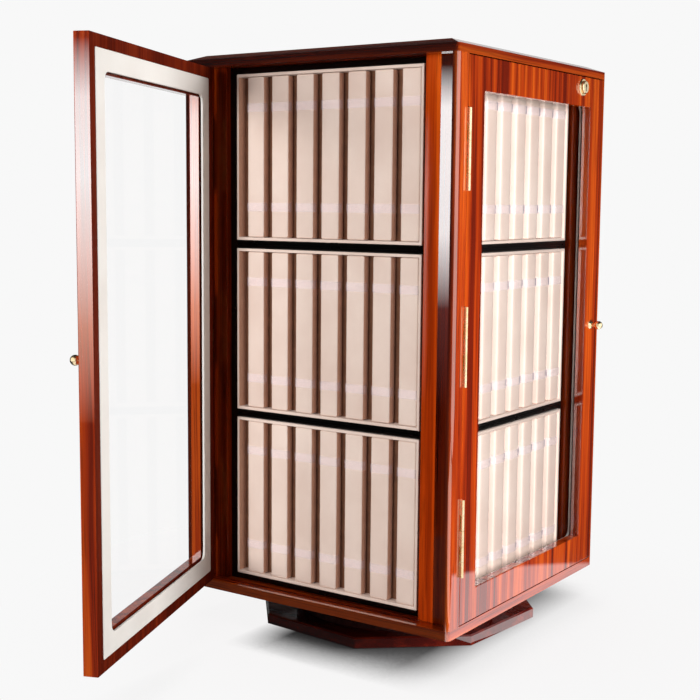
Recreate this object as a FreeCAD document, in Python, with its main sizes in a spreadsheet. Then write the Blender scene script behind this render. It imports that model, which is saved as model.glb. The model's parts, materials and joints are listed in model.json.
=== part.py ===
import FreeCAD, Part
import math
import operator
import os
from types import SimpleNamespace

import Sketcher

# A four-sided display cabinet for watches that turns on an octagonal base plate.
# Row frame: origin on the floor under the turning axis, +Z up, front face towards -Y.

# Driving dimensions, in millimetres, with angles in degrees and counts as plain numbers
DIMENSIONS = {
    # Base and turntable
    "base_across": 396,
    "base_thickness": 15,
    "base_arris": 2,
    "base_turn": -5,
    "felt_thickness": 1.5,
    "felt_inset": 6,
    "bearing_height": 10,
    "bearing_play": 0.8,
    "bearing_ring_width": 24,
    "bearing_ring_gap": 5,
    "ball_circle": 240,
    "ball_diameter": 7,
    "ball_play": 0.3,
    "ball_count": 24,
    "block_margin": 4,
    "block_thickness": 22.5,
    # Carcass
    "cabinet_width": 450,
    "carcass_height": 765,
    "bottom_edge": 13,
    "top_edge": 11,
    "top_bevel_inset": 23,
    "top_bevel_rise": 8,
    "top_bevel_step": 1,
    "corner_round": 6,
    "post_square": 36,
    "hinge_strip": 27.5,
    "lock_strip": 8,
    "near_batten": 24.5,
    "far_batten": 24,
    "batten_setback": 2,
    "batten_arris": 1,
    # Trays on the central column
    "watch_space": 8.5,
    "near_margin": 13,
    "far_margin": 6.5,
    "tray_thickness": 21,
    "tray_floor": 6,
    "tray_rim": 4,
    "rim_proud": 1.5,
    "panel_thickness": 6,
    "sill_height": 9,
    "divider_height": 12,
    "divider_setback": 3,
    "divider_arris": 2,
    "divider_groove": 2,
    "groove_width": 14,
    "slat_crown": 0.8,
    "slat_end_gap": 1.5,
    "slat_play": 0.5,
    "slat_count": 7,
    "tray_count": 3,
    "band_width": 12,
    "band_thickness": 0.6,
    "band_gap": 0.3,
    "band_tuck": 8,
    "band_inset": 47,
    # Doors
    "door_thickness": 19,
    "door_gap": 1,
    "door_back_gap": 1.5,
    "door_open": 68.5,
    "door_arris": 1,
    "stile_width": 42,
    "rail_width": 43,
    "glass_rebate": 12,
    "glass_thickness": 3,
    "glass_play": 0.5,
    "lining_inset": 15,
    "lining_width": 25,
    "lining_recess": 2.4,
    "lining_proud": 0.6,
    "lining_play": 0.3,
    "lining_corner": 12,
    "lining_outer_corner": 3,
    "lining_edge": 0.8,
    # Butt hinges
    "hinge_length": 104,
    "hinge_inset": 66,
    "hinge_count": 3,
    "leaf_thickness": 1.5,
    "leaf_width": 16,
    "leaf_clearance": 0.2,
    "knuckle_radius": 2.2,
    "knuckle_gap": 0.4,
    "knuckle_play": 0.4,
    "pin_radius": 1.1,
    "pin_clearance": 0.05,
    # Knob
    "knob_from_edge": 22,
    "knob_rosette_radius": 6.5,
    "knob_shoulder_radius": 4.5,
    "knob_rosette_height": 3,
    "knob_neck_radius": 2.6,
    "knob_ball_radius": 6.4,
    "knob_reach": 20,
    "knob_stud_radius": 2,
    "knob_stud_length": 12,
    # Lock
    "lock_from_edge": 74,
    "lock_from_top": 16,
    "lock_case_width": 36,
    "lock_case_height": 28,
    "lock_case_depth": 12,
    "lock_barrel_radius": 7,
    "lock_play": 0.2,
    "escutcheon_radius": 12.5,
    "escutcheon_edge": 0.8,
    "escutcheon_height": 2.2,
    "collar_radius": 9.5,
    "collar_height": 6,
    "collar_edge": 1.2,
    "keyhole_radius": 2.4,
    "keyhole_rise": 2,
    "keyhole_drop": 5.5,
    "keyhole_slot": 2.4,
    "keyhole_depth": 5,
    "bolt_width": 12,
    "bolt_thickness": 4,
    "bolt_length": 14,
    "bolt_setback": 0.5,
    "bolt_travel": 7,
    "bolt_play": 0.3,
    "bolt_arris": 0.6,
}

SIDES = ("front", "right", "back", "left")
CORNERS = ("front_left", "front_right", "back_right", "back_left")
LEVELS = ("bottom", "middle", "top")
KNUCKLES = 5
OCTAGON = 8
OPERATIONS = {"+": operator.add, "-": operator.sub, "*": operator.mul, "/": operator.truediv}
UP = FreeCAD.Vector(0, 0, 1)
DOWN = FreeCAD.Vector(0, 0, -1)
ALONG_Y = FreeCAD.Rotation(FreeCAD.Vector(1, 0, 0), -90)
NEAR = 0.001


class Size:
    """A size that keeps its value and the expression that ties it to the sheet."""

    def __init__(self, text, value):
        self.text = text
        self.value = value

    def __add__(self, other):
        return combine(self, "+", other)

    def __radd__(self, other):
        return combine(other, "+", self)

    def __sub__(self, other):
        return combine(self, "-", other)

    def __rsub__(self, other):
        return combine(other, "-", self)

    def __mul__(self, other):
        return combine(self, "*", other)

    def __rmul__(self, other):
        return combine(other, "*", self)

    def __truediv__(self, other):
        return combine(self, "/", other)

    def __neg__(self):
        return combine(0, "-", self)


def as_size(item):
    return item if isinstance(item, Size) else Size(repr(item), item)


def combine(left, sign, right):
    left, right = as_size(left), as_size(right)
    return Size(f"({left.text} {sign} {right.text})", OPERATIONS[sign](left.value, right.value))


# Document and sheet of driving dimensions
doc = FreeCAD.newDocument("watch_cabinet")
sheet = doc.addObject("Spreadsheet::Sheet", "sizes")
for row, (alias, value) in enumerate(DIMENSIONS.items(), 1):
    sheet.set(f"A{row}", alias)
    sheet.set(f"B{row}", str(value))
    sheet.setAlias(f"B{row}", alias)
doc.recompute()
s = SimpleNamespace(**{alias: Size(f"sizes.{alias}", value) for alias, value in DIMENSIONS.items()})

# Sizes worked out from the driving ones
carcass_bottom = s.felt_thickness + s.base_thickness + s.bearing_height + s.block_thickness
inner_bottom = carcass_bottom + s.bottom_edge
clear_height = s.carcass_height - s.bottom_edge - s.top_edge
inner_top = inner_bottom + clear_height
half_width = s.cabinet_width / 2

rebate_depth = s.door_thickness + s.door_back_gap
batten_front = rebate_depth + s.batten_setback
tray_front = rebate_depth + s.watch_space
column_inset = tray_front + s.tray_thickness
strip_left = s.post_square + s.near_batten
strip_right = s.cabinet_width - s.post_square - s.far_batten
tray_left = strip_left + s.near_margin
tray_right = strip_right - s.far_margin
tray_height = (clear_height - 2 * s.sill_height - (s.tray_count - 1) * s.divider_height) / s.tray_count
tray_step = tray_height + s.divider_height
tray_back = column_inset - s.tray_floor
slat_pitch = (tray_right - tray_left - 2 * s.tray_rim - s.slat_end_gap) / s.slat_count
slat_width = slat_pitch - s.groove_width
slat_left = tray_left + s.tray_rim + s.groove_width
slat_front = tray_front + s.rim_proud
slat_bottom = s.sill_height + s.tray_rim + s.slat_play
slat_length = tray_height - 2 * s.tray_rim - 2 * s.slat_play

knuckle_proud = s.knuckle_radius + s.knuckle_gap
door_left = s.door_gap / 2
door_width = s.cabinet_width - s.hinge_strip - s.lock_strip - 2 * s.door_gap
door_right = door_left + door_width
door_height = clear_height - 2 * s.door_gap
door_front = knuckle_proud
door_back = door_front + s.door_thickness
glass_inset = s.stile_width - s.glass_rebate
glass_inset_up = s.rail_width - s.glass_rebate
glass_back = door_back - s.lining_recess
glass_front = glass_back - s.glass_thickness
leaf_recess = s.leaf_thickness - s.door_gap / 2 + s.leaf_clearance / 2
hinge_step = (door_height - 2 * s.hinge_inset - s.hinge_length) / (s.hinge_count - 1)
knob_x = door_right - s.knob_from_edge
knob_z = door_height / 2
lock_x = door_right - s.lock_from_edge
lock_z = door_height - s.lock_from_top
lock_case_front = door_back - s.lock_case_depth
bolt_y = (lock_case_front + glass_back) / 2
bolt_top = door_height - s.bolt_setback
hinge_x = s.hinge_strip + s.door_gap / 2


# Building helpers
def bind(item, name, value):
    item.setExpression(name, as_size(value).text)


def new_body(label):
    body = doc.addObject("PartDesign::Body", label)
    body.Label = label
    body.AllowCompound = True
    return body


def origin_item(body, role):
    return next(item for item in body.Origin.OriginFeatures if item.Role == role)


def place(feature, corner):
    for axis, value in zip("xyz", corner):
        bind(feature, f"Placement.Base.{axis}", value)


def block(body, name, low, high, cut=False):
    kind = "PartDesign::SubtractiveBox" if cut else "PartDesign::AdditiveBox"
    feature = body.newObject(kind, name)
    for side, start, end in zip(("Length", "Width", "Height"), low, high):
        bind(feature, side, end - start)
    place(feature, low)
    return feature


def rod(body, name, base, radius, length, along_y=False, cut=False):
    kind = "PartDesign::SubtractiveCylinder" if cut else "PartDesign::AdditiveCylinder"
    feature = body.newObject(kind, name)
    bind(feature, "Radius", radius)
    bind(feature, "Height", length)
    if along_y:
        feature.Placement = FreeCAD.Placement(FreeCAD.Vector(), ALONG_Y)
    place(feature, base)
    return feature


def repeat(body, name, originals, directions):
    """Linear pattern of features: directions holds an axis, the whole span and a count, once or twice."""
    feature = body.newObject("PartDesign::LinearPattern", name)
    feature.Originals = originals
    for suffix, (axis, span, count) in zip(("", "2"), directions):
        setattr(feature, f"Direction{suffix}", (origin_item(body, axis), [""]))
        bind(feature, f"Length{suffix}", span)
        bind(feature, f"Occurrences{suffix}", count)
    body.Tip = feature
    return feature


def turn_copies(body, name, originals, count):
    feature = body.newObject("PartDesign::PolarPattern", name)
    feature.Originals = originals
    feature.Axis = (origin_item(body, "Z_Axis"), [""])
    feature.Angle = 360
    bind(feature, "Occurrences", count)
    body.Tip = feature
    return feature


def outline(body, name, points, at=(0, 0, 0), arcs=None):
    """Closed sketch on the XY plane through points, counter-clockwise; arcs gives a side's radius."""
    arcs = arcs or {}
    sketch = body.newObject("Sketcher::SketchObject", name)
    sketch.AttachmentSupport = (origin_item(body, "XY_Plane"), [""])
    sketch.MapMode = "FlatFace"
    for axis, value in zip("xyz", at):
        bind(sketch, f"AttachmentOffset.Base.{axis}", value)
    corners = [FreeCAD.Vector(as_size(x).value, as_size(y).value, 0) for x, y in points]
    count = len(corners)
    for index, corner in enumerate(corners):
        following = corners[(index + 1) % count]
        if index in arcs:
            sketch.addGeometry(Part.Arc(corner, arc_middle(corner, following, arcs[index].value), following))
        else:
            sketch.addGeometry(Part.LineSegment(corner, following))
    for index in range(count):
        sketch.addConstraint(Sketcher.Constraint("Coincident", index, 2, (index + 1) % count, 1))
    for index, radius in arcs.items():
        number = sketch.addConstraint(Sketcher.Constraint("Radius", index, radius.value))
        bind(sketch, f"Constraints[{number}]", radius)
    for index, point in enumerate(points):
        for kind, line, value in zip(("DistanceX", "DistanceY"), (-2, -1), point):
            set_coordinate(sketch, index, kind, line, as_size(value))
    return sketch


def arc_middle(start, end, radius):
    chord = end - start
    sagitta = radius - math.sqrt(radius ** 2 - (chord.Length / 2) ** 2)
    outward = FreeCAD.Vector(chord.y, -chord.x, 0).normalize()
    return (start + end) / 2 + outward * sagitta


def set_coordinate(sketch, index, kind, line, value):
    if value.value == 0:
        sketch.addConstraint(Sketcher.Constraint("PointOnObject", index, 1, line))
    else:
        number = sketch.addConstraint(Sketcher.Constraint(kind, -1, 1, index, 1, value.value))
        bind(sketch, f"Constraints[{number}]", value)


def pad(body, name, sketch, length):
    feature = body.newObject("PartDesign::Pad", name)
    feature.Profile = sketch
    bind(feature, "Length", length)
    return feature


def revolve(body, name, sketch):
    feature = body.newObject("PartDesign::Revolution", name)
    feature.Profile = sketch
    feature.ReferenceAxis = (sketch, ["V_Axis"])
    feature.Angle = 360
    return feature


def dress(body, name, kind, size_name, size, wanted):
    """Fillet or chamfer on the edges of the body's tip that wanted() accepts."""
    doc.recompute()
    tip = body.Tip
    names = [f"Edge{number}" for number, edge in enumerate(tip.Shape.Edges, 1) if wanted(edge)]
    if not names:
        raise RuntimeError(f"{body.Label}: no edges for {name}")
    feature = body.newObject(kind, name)
    feature.Base = (tip, names)
    bind(feature, size_name, size)
    return feature


def fillet(body, name, radius, wanted):
    return dress(body, name, "PartDesign::Fillet", "Radius", radius, wanted)


def runs_along(edge, axis):
    """True for a straight edge along axis 0, 1 or 2 (X, Y or Z)."""
    spans = (edge.BoundBox.XLength, edge.BoundBox.YLength, edge.BoundBox.ZLength)
    return spans[axis] > NEAR and all(spans[other] < NEAR for other in range(3) if other != axis)


def lies_at(edge, axis, value):
    """True for an edge that lies wholly in the plane where that coordinate has the value."""
    low = (edge.BoundBox.XMin, edge.BoundBox.YMin, edge.BoundBox.ZMin)[axis]
    high = (edge.BoundBox.XMax, edge.BoundBox.YMax, edge.BoundBox.ZMax)[axis]
    return abs(low - value.value) < NEAR and abs(high - value.value) < NEAR


def quarter_turn(side, x, y):
    """A point of the front side, turned to the side with that number."""
    return ((x, y), (-y, x), (-x, -y), (y, -x))[side]


def on_side(item, side):
    """Local x runs along the face from its hinge corner, y inwards and z up from the bottom board."""
    item.Placement = FreeCAD.Placement(FreeCAD.Vector(), FreeCAD.Rotation(UP, 90 * side))
    place(item, (*quarter_turn(side, -half_width, -half_width), inner_bottom))


def on_hinge(item, side, swing=None):
    """Local z is the hinge axis, x runs along the closed door and y inwards; swing opens the door."""
    if swing is None:
        item.Placement = FreeCAD.Placement(FreeCAD.Vector(), FreeCAD.Rotation(UP, 90 * side))
    else:
        item.Placement = FreeCAD.Placement(FreeCAD.Vector(), FreeCAD.Rotation(DOWN, swing.value))
        bind(item, "Placement.Rotation.Angle", swing)
    x, y = quarter_turn(side, hinge_x - half_width, -half_width - knuckle_proud)
    place(item, (x, y, inner_bottom + s.door_gap))


def on_axis(item, height, turn=None):
    if turn is not None:
        item.Placement = FreeCAD.Placement(FreeCAD.Vector(), FreeCAD.Rotation(UP, turn.value))
        bind(item, "Placement.Rotation.Angle", turn)
    place(item, (0, 0, height))


def group(label, items):
    compound = doc.addObject("Part::Compound", label)
    compound.Label = label
    compound.Links = items
    return compound


def plain_box(label, low, high):
    box = doc.addObject("Part::Box", label)
    for side, start, end in zip(("Length", "Width", "Height"), low, high):
        bind(box, side, end - start)
    place(box, low)
    return box


# Base and turntable
def octagon(label, across, thickness, height):
    body = new_body(label)
    prism = body.newObject("PartDesign::AdditivePrism", f"{label}_prism")
    prism.Polygon = OCTAGON
    bind(prism, "Circumradius", across / (2 * math.cos(math.pi / OCTAGON)))
    bind(prism, "Height", thickness)
    on_axis(body, height, 180 / OCTAGON + s.base_turn)
    return body


def base_plate():
    body = octagon("base_plate", s.base_across, s.base_thickness, s.felt_thickness)
    dress(body, "plate_arris", "PartDesign::Chamfer", "Size", s.base_arris,
          lambda edge: lies_at(edge, 2, s.base_thickness))
    return body


def base_felt():
    return octagon("base_felt", s.base_across - 2 * s.felt_inset, s.felt_thickness, 0)


bearing_bottom = s.felt_thickness + s.base_thickness
ring_height = s.bearing_height - s.bearing_play


def bearing_ring(label, inner, outer, height):
    """Flat ring with half of the ball race in its wall."""
    body = new_body(label)
    rod(body, f"{label}_disc", (0, 0, 0), outer, ring_height)
    rod(body, f"{label}_bore", (0, 0, 0), inner, ring_height, cut=True)
    race = body.newObject("PartDesign::SubtractiveTorus", f"{label}_race")
    bind(race, "Radius1", s.ball_circle / 2)
    bind(race, "Radius2", s.ball_diameter / 2 + s.ball_play)
    place(race, (0, 0, bearing_bottom + s.bearing_height / 2 - height))
    on_axis(body, height)
    return body


def bearing_lower_ring():
    outer = s.ball_circle / 2 - s.bearing_ring_gap / 2
    return bearing_ring("bearing_lower_ring", outer - s.bearing_ring_width, outer, bearing_bottom)


def bearing_upper_ring():
    inner = s.ball_circle / 2 + s.bearing_ring_gap / 2
    return bearing_ring("bearing_upper_ring", inner, inner + s.bearing_ring_width,
                        bearing_bottom + s.bearing_play)


def bearing_balls():
    body = new_body("bearing_balls")
    ball = body.newObject("PartDesign::AdditiveSphere", "ball")
    bind(ball, "Radius", s.ball_diameter / 2)
    place(ball, (s.ball_circle / 2, 0, 0))
    turn_copies(body, "ball_ring", [ball], s.ball_count)
    on_axis(body, bearing_bottom + s.bearing_height / 2)
    return body


def turntable_block():
    block_radius = s.ball_circle / 2 + s.bearing_ring_gap / 2 + s.bearing_ring_width + s.block_margin
    disc = doc.addObject("Part::Cylinder", "turntable_block")
    bind(disc, "Radius", block_radius)
    bind(disc, "Height", s.block_thickness)
    on_axis(disc, carcass_bottom - s.block_thickness)
    return disc


# Carcass
def square_board(label, thickness, height):
    body = new_body(label)
    block(body, f"{label}_blank", (-half_width, -half_width, 0), (half_width, half_width, thickness))
    fillet(body, f"{label}_corners", s.corner_round, lambda edge: runs_along(edge, 2))
    on_axis(body, height)
    return body


def bottom_board():
    return square_board("bottom_board", s.bottom_edge, carcass_bottom)


def top_board():
    """Board with a wide shallow bevel on top and a mortise under it for each lock bolt."""
    body = square_board("top_board", s.top_edge, inner_top)
    bevel = body.newObject("PartDesign::AdditiveWedge", "top_bevel")
    bevel.Placement = FreeCAD.Placement(FreeCAD.Vector(), ALONG_Y.inverted())
    foot = half_width - s.top_bevel_step
    head = half_width - s.top_bevel_inset
    for axis in "XZ":
        bind(bevel, f"{axis}min", -foot)
        bind(bevel, f"{axis}max", foot)
        bind(bevel, f"{axis}2min", -head)
        bind(bevel, f"{axis}2max", head)
    bind(bevel, "Ymin", 0)
    bind(bevel, "Ymax", s.top_bevel_rise)
    place(bevel, (0, 0, s.top_edge))
    centre_x = hinge_x + lock_x - half_width
    centre_y = bolt_y - knuckle_proud - half_width
    reach_x = s.bolt_width / 2 + s.bolt_play
    reach_y = s.bolt_thickness / 2 + s.bolt_play
    mortise = block(body, "bolt_mortise", (centre_x - reach_x, centre_y - reach_y, 0),
                    (centre_x + reach_x, centre_y + reach_y, s.bolt_travel + s.bolt_play), cut=True)
    turn_copies(body, "bolt_mortises", [mortise], len(SIDES))
    return body


def hinge_mortises(body, name, left, right, front, base):
    """Shallow recesses for the hinge leaves, one above another."""
    low = (left, front, base + s.hinge_inset)
    high = (right, front + s.leaf_width, base + s.hinge_inset + s.hinge_length)
    first = block(body, name, low, high, cut=True)
    repeat(body, f"{name}_row", [first], [("Z_Axis", (s.hinge_count - 1) * hinge_step, s.hinge_count)])


def corner_post(side):
    """Post with a rebate for the hinge edge of one door and for the lock edge of the next."""
    label = f"corner_post_{CORNERS[side]}"
    body = new_body(label)
    section = outline(body, f"{label}_section", [
        (0, 0),
        (s.hinge_strip, 0),
        (s.hinge_strip, rebate_depth),
        (s.post_square, rebate_depth),
        (s.post_square, s.post_square),
        (rebate_depth, s.post_square),
        (rebate_depth, s.lock_strip),
        (0, s.lock_strip),
    ])
    pad(body, f"{label}_length", section, clear_height)
    fillet(body, f"{label}_corner", s.corner_round,
           lambda edge: runs_along(edge, 2) and lies_at(edge, 0, as_size(0)) and lies_at(edge, 1, as_size(0)))
    hinge_mortises(body, f"{label}_mortise", s.hinge_strip - leaf_recess, s.hinge_strip, as_size(0), s.door_gap)
    on_side(body, side)
    return body


def side_battens():
    """A pair of filler strips on each side, beside the posts."""
    pairs = []
    for side, side_name in enumerate(SIDES):
        body = new_body(f"{side_name}_battens")
        for name, left, right in (("near", s.post_square, strip_left),
                                  ("far", strip_right, s.cabinet_width - s.post_square)):
            block(body, f"{side_name}_batten_{name}", (left, batten_front, as_size(0)),
                  (right, s.post_square, clear_height))
        fillet(body, f"{side_name}_batten_arris", s.batten_arris,
               lambda edge: runs_along(edge, 2) and lies_at(edge, 1, batten_front))
        on_side(body, side)
        pairs.append(body)
    return group("side_battens", pairs)


# Trays on the central column
def column_rails(side):
    """Black sills and dividers that carry the trays of one side."""
    label = f"{SIDES[side]}_tray_rails"
    body = new_body(label)
    front = tray_front + s.divider_setback
    heights = [(as_size(0), s.sill_height), (clear_height - s.sill_height, clear_height)]
    for level in range(1, len(LEVELS)):
        foot = s.sill_height + level * tray_step - s.divider_height
        heights.append((foot, foot + s.divider_height))
    for number, (low, high) in enumerate(heights):
        block(body, f"{label}_{number}", (tray_left, front, low), (tray_right, column_inset, high))
    fillet(body, f"{label}_arris", s.divider_arris, lambda edge: runs_along(edge, 0) and lies_at(edge, 1, front))
    for number, (low, high) in enumerate(heights[2:]):
        middle = (low + high) / 2
        block(body, f"{label}_groove_{number}", (tray_left, front, middle - s.divider_groove / 2),
              (tray_right, front + s.divider_groove, middle + s.divider_groove / 2), cut=True)
    on_side(body, side)
    return body


def side_strips(side):
    """Black strips that close the gaps between the trays of one side and the battens."""
    label = f"{SIDES[side]}_side_strips"
    body = new_body(label)
    for name, left, right in (("near", strip_left, tray_left), ("far", tray_right, strip_right)):
        block(body, f"{label}_{name}", (left, tray_front + s.divider_setback, as_size(0)),
              (right, column_inset, clear_height))
    on_side(body, side)
    return body


def tray_column():
    pieces = []
    for side, side_name in enumerate(SIDES):
        panel = new_body(f"{side_name}_column_panel")
        block(panel, f"{side_name}_panel_board", (column_inset, column_inset, as_size(0)),
              (s.cabinet_width - column_inset - s.panel_thickness, column_inset + s.panel_thickness, clear_height))
        on_side(panel, side)
        pieces += [panel, column_rails(side), side_strips(side)]
    return group("tray_column", pieces)


def tray(side, level):
    """Shallow tray: a floor and four walls."""
    label = f"{SIDES[side]}_tray_{LEVELS[level]}"
    low = s.sill_height + level * tray_step
    high = low + tray_height
    inner_left, inner_right = tray_left + s.tray_rim, tray_right - s.tray_rim
    walls = {
        "floor": ((tray_left, tray_back, low), (tray_right, column_inset, high)),
        "left_wall": ((tray_left, tray_front, low), (inner_left, tray_back, high)),
        "right_wall": ((inner_right, tray_front, low), (tray_right, tray_back, high)),
        "bottom_wall": ((inner_left, tray_front, low), (inner_right, tray_back, low + s.tray_rim)),
        "top_wall": ((inner_left, tray_front, high - s.tray_rim), (inner_right, tray_back, high)),
    }
    pieces = [plain_box(f"{label}_{name}", *corners) for name, corners in walls.items()]
    compound = group(label, pieces)
    on_side(compound, side)
    return compound


def slat_grid(body, name, originals):
    repeat(body, name, originals, [
        ("X_Axis", (s.slat_count - 1) * slat_pitch, s.slat_count),
        ("Z_Axis", (s.tray_count - 1) * tray_step, s.tray_count),
    ])


def tray_slats(side):
    """Covered slats with a slight crown, in rows across the trays of one side."""
    label = f"{SIDES[side]}_tray_slats"
    body = new_body(label)
    shoulder = slat_front + s.slat_crown
    slat_right = slat_left + slat_width
    crown_radius = slat_width * slat_width / (8 * s.slat_crown) + s.slat_crown / 2
    section = outline(body, f"{label}_section", [
        (slat_left, shoulder),
        (slat_right, shoulder),
        (slat_right, tray_back),
        (slat_left, tray_back),
    ], at=(0, 0, slat_bottom), arcs={0: crown_radius})
    slat = pad(body, f"{label}_first", section, slat_length)
    slat_grid(body, f"{label}_grid", [slat])
    on_side(body, side)
    return body


def clear_bands():
    """Two thin clear bands round the front of every slat."""
    sets = []
    inner_left = slat_left - s.band_gap
    inner_right = slat_left + slat_width + s.band_gap
    inner_front = slat_front - s.band_gap
    front = inner_front - s.band_thickness
    back = slat_front + s.band_tuck
    for side, side_name in enumerate(SIDES):
        body = new_body(f"{side_name}_bands")
        pads = []
        for name, centre in (("low", s.band_inset), ("high", tray_height - s.band_inset)):
            section = outline(body, f"{side_name}_band_{name}_section", [
                (inner_left - s.band_thickness, front),
                (inner_right + s.band_thickness, front),
                (inner_right + s.band_thickness, back),
                (inner_right, back),
                (inner_right, inner_front),
                (inner_left, inner_front),
                (inner_left, back),
                (inner_left - s.band_thickness, back),
            ], at=(0, 0, s.sill_height + centre - s.band_width / 2))
            pads.append(pad(body, f"{side_name}_band_{name}", section, s.band_width))
        slat_grid(body, f"{side_name}_band_grid", pads)
        on_side(body, side)
        sets.append(body)
    return group("clear_bands", sets)


# Doors
def door_swing(side):
    return s.door_open if SIDES[side] == "front" else None


def door_frame(side):
    """One veneered panel with a window, a stepped rebate behind it and cuts for the fittings."""
    label = f"{SIDES[side]}_door_frame"
    body = new_body(label)
    foot = as_size(0)
    block(body, f"{label}_panel", (door_left, door_front, foot), (door_right, door_back, door_height))
    block(body, f"{label}_window", (door_left + s.stile_width, door_front, s.rail_width),
          (door_right - s.stile_width, door_back, door_height - s.rail_width), cut=True)
    fillet(body, f"{label}_arris", s.door_arris, lambda edge: lies_at(edge, 1, door_front))
    block(body, f"{label}_glass_rebate", (door_left + glass_inset, glass_front, glass_inset_up),
          (door_right - glass_inset, door_back, door_height - glass_inset_up), cut=True)
    block(body, f"{label}_lining_recess", (door_left + s.lining_inset, glass_back, s.lining_inset),
          (door_right - s.lining_inset, door_back, door_height - s.lining_inset), cut=True)
    half_case = s.lock_case_width / 2
    block(body, f"{label}_lock_recess", (lock_x - half_case, lock_case_front, door_height - s.lock_case_height),
          (lock_x + half_case, glass_back, door_height), cut=True)
    rod(body, f"{label}_barrel_hole", (lock_x, door_front, lock_z), s.lock_barrel_radius + s.lock_play,
        lock_case_front - door_front, along_y=True, cut=True)
    rod(body, f"{label}_stud_hole", (knob_x, door_front, knob_z), s.knob_stud_radius + s.lock_play,
        s.knob_stud_length + s.lock_play, along_y=True, cut=True)
    hinge_mortises(body, f"{label}_mortise", door_left, door_left + leaf_recess, door_front, foot)
    on_hinge(body, side, door_swing(side))
    return body


def door_glass(side):
    label = f"{SIDES[side]}_door_glass"
    body = new_body(label)
    across = glass_inset + s.glass_play
    up = glass_inset_up + s.glass_play
    block(body, f"{label}_pane", (door_left + across, glass_front, up),
          (door_right - across, glass_back, door_height - up))
    on_hinge(body, side, door_swing(side))
    return body


def door_lining(side):
    """Covered frame that holds the glass, with rounded corners."""
    label = f"{SIDES[side]}_door_lining"
    body = new_body(label)
    outer = s.lining_inset + s.lining_play
    inner = s.lining_inset + s.lining_width
    face = door_back + s.lining_proud
    block(body, f"{label}_board", (door_left + outer, glass_back, outer),
          (door_right - outer, face, door_height - outer))
    fillet(body, f"{label}_outer_corners", s.lining_outer_corner, lambda edge: runs_along(edge, 1))
    block(body, f"{label}_window", (door_left + inner, glass_back, inner),
          (door_right - inner, face, door_height - inner), cut=True)
    fillet(body, f"{label}_inner_corners", s.lining_corner,
           lambda edge: runs_along(edge, 1) and is_window_corner(edge, door_left + inner, door_right - inner))
    fillet(body, f"{label}_edges", s.lining_edge, lambda edge: lies_at(edge, 1, face))
    on_hinge(body, side, door_swing(side))
    return body


def is_window_corner(edge, left, right):
    return lies_at(edge, 0, left) or lies_at(edge, 0, right)


def leaf_features(body, label, left, own_knuckles):
    """One hinge leaf with its own knuckles: plate, necks, barrels and the bore for the pin."""
    right = left + s.leaf_thickness
    foot = s.hinge_inset
    features = [block(body, f"{label}_plate", (left, knuckle_proud, foot),
                      (right, knuckle_proud + s.leaf_width, foot + s.hinge_length))]
    knuckle = s.hinge_length / KNUCKLES
    for number in own_knuckles:
        low = foot + number * knuckle + s.knuckle_play / 2
        high = low + knuckle - s.knuckle_play
        features.append(block(body, f"{label}_neck_{number}", (left, as_size(0), low), (right, knuckle_proud, high)))
        features.append(rod(body, f"{label}_barrel_{number}", (0, 0, low), s.knuckle_radius, high - low))
    features.append(rod(body, f"{label}_bore", (0, 0, foot), s.pin_radius + s.pin_clearance,
                        s.hinge_length, cut=True))
    return features


def hinge_row(body, name, features):
    repeat(body, name, features, [("Z_Axis", (s.hinge_count - 1) * hinge_step, s.hinge_count)])


def door_hinge_leaves(side):
    label = f"{SIDES[side]}_door_hinge_leaves"
    body = new_body(label)
    features = leaf_features(body, label, s.leaf_clearance / 2, range(1, KNUCKLES, 2))
    hinge_row(body, f"{label}_row", features)
    on_hinge(body, side, door_swing(side))
    return body


def cabinet_hinge_leaves():
    """The leaves on the posts, with the hinge pins."""
    rows = []
    for side, side_name in enumerate(SIDES):
        body = new_body(f"{side_name}_post_leaves")
        left = -s.leaf_clearance / 2 - s.leaf_thickness
        features = leaf_features(body, f"{side_name}_post_leaf", left, range(0, KNUCKLES, 2))
        features.append(rod(body, f"{side_name}_hinge_pin", (0, 0, s.hinge_inset), s.pin_radius, s.hinge_length))
        hinge_row(body, f"{side_name}_post_leaf_row", features)
        on_hinge(body, side)
        rows.append(body)
    return group("cabinet_hinge_leaves", rows)


def door_knob(side):
    """Ball knob on a rosette, with its stud in the stile."""
    label = f"{SIDES[side]}_door_knob"
    body = new_body(label)
    rosette = body.newObject("PartDesign::AdditiveCone", f"{label}_rosette")
    rosette.Placement = FreeCAD.Placement(FreeCAD.Vector(), ALONG_Y)
    bind(rosette, "Radius1", s.knob_shoulder_radius)
    bind(rosette, "Radius2", s.knob_rosette_radius)
    bind(rosette, "Height", s.knob_rosette_height)
    place(rosette, (knob_x, door_front - s.knob_rosette_height, knob_z))
    ball_y = door_front - s.knob_reach + s.knob_ball_radius
    rod(body, f"{label}_neck", (knob_x, ball_y, knob_z), s.knob_neck_radius, door_front - ball_y, along_y=True)
    ball = body.newObject("PartDesign::AdditiveSphere", f"{label}_ball")
    bind(ball, "Radius", s.knob_ball_radius)
    place(ball, (knob_x, ball_y, knob_z))
    rod(body, f"{label}_stud", (knob_x, door_front, knob_z), s.knob_stud_radius, s.knob_stud_length, along_y=True)
    on_hinge(body, side, door_swing(side))
    return body


def keyhole(body, label, front, back):
    """Round hole with a slot below it, cut along Y."""
    centre = lock_z + s.keyhole_rise
    rod(body, f"{label}_keyhole", (lock_x, front, centre), s.keyhole_radius, back - front, along_y=True, cut=True)
    block(body, f"{label}_key_slot", (lock_x - s.keyhole_slot / 2, front, lock_z - s.keyhole_drop),
          (lock_x + s.keyhole_slot / 2, back, centre), cut=True)


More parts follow.
